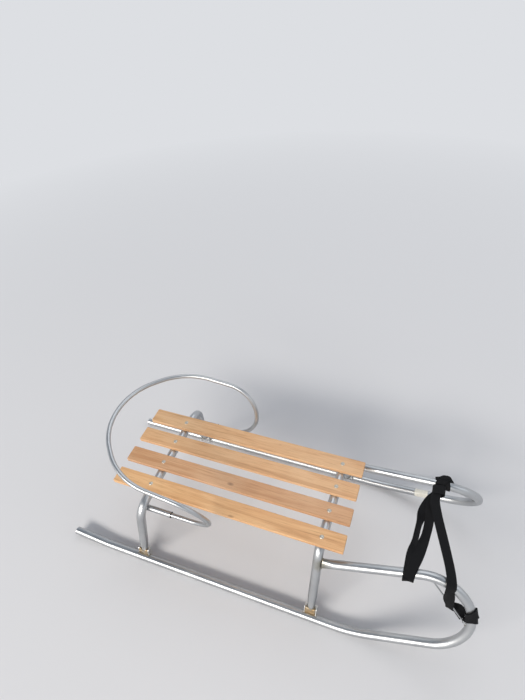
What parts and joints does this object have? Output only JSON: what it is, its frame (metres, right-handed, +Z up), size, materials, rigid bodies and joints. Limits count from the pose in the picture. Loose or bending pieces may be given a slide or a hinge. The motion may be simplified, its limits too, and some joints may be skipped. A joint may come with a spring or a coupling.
{
  "type": "sled",
  "caption": "Low tube-frame sled with curled runner bows, a slatted wooden seat, a plug-in backrest hoop and a webbing pull strap.",
  "frame": {"origin": "centre of the overall box, on the ground under the runners", "axes": "+X forward to the bows, +Y to the rider's left, +Z up"},
  "size_m": [1.0996, 0.4594, 0.3917],
  "materials": {
    "tube_steel": "satin galvanised tube, bare",
    "galvanised_sheet": "galvanised pressed sheet",
    "zinc_fixings": "zinc plated",
    "lacquered_wood": "light hardwood, clear lacquer",
    "webbing": "black woven webbing",
    "label_film": "blank white film"
  },
  "bodies": {
    "frame": {"runner_left": "tube_steel", "runner_right": "tube_steel", "curl_left": "tube_steel", "curl_right": "tube_steel", "return_tube_left": "tube_steel", "return_tube_right": "tube_steel", "arch_front": "tube_steel", "arch_rear": "tube_steel", "backrest_socket_left": "tube_steel", "eye_rod_left": "tube_steel", "backrest_socket_right": "tube_steel", "eye_rod_right": "tube_steel", "bracket_front_left": "galvanised_sheet", "bracket_front_right": "galvanised_sheet", "bracket_rear_left": "galvanised_sheet", "bracket_rear_right": "galvanised_sheet", "bolt_front_1": "zinc_fixings", "bolt_front_2": "zinc_fixings", "bolt_front_3": "zinc_fixings", "bolt_front_4": "zinc_fixings", "bolt_rear_1": "zinc_fixings", "bolt_rear_2": "zinc_fixings", "bolt_rear_3": "zinc_fixings", "bolt_rear_4": "zinc_fixings", "nut_front_1": "zinc_fixings", "nut_front_2": "zinc_fixings", "nut_front_3": "zinc_fixings", "nut_front_4": "zinc_fixings", "nut_rear_1": "zinc_fixings", "nut_rear_2": "zinc_fixings", "nut_rear_3": "zinc_fixings", "nut_rear_4": "zinc_fixings", "slat_1": "lacquered_wood", "slat_2": "lacquered_wood", "slat_3": "lacquered_wood", "slat_4": "lacquered_wood", "strap_knot": "webbing", "strap_tow": "webbing", "strap_fall": "webbing", "strap_turn": "webbing", "strap_turn_wrap": "webbing", "strap_loop_lower": "webbing", "strap_loop_upper": "webbing", "label": "label_film"},
    "backrest": {"backrest_hoop": "tube_steel"}
  },
  "joints": [
    {"name": "backrest_pull_out", "type": "slide", "parent": "frame", "child": "backrest", "axis": [1, 0, 0], "range_m": [0, 0.095]}
  ]
}
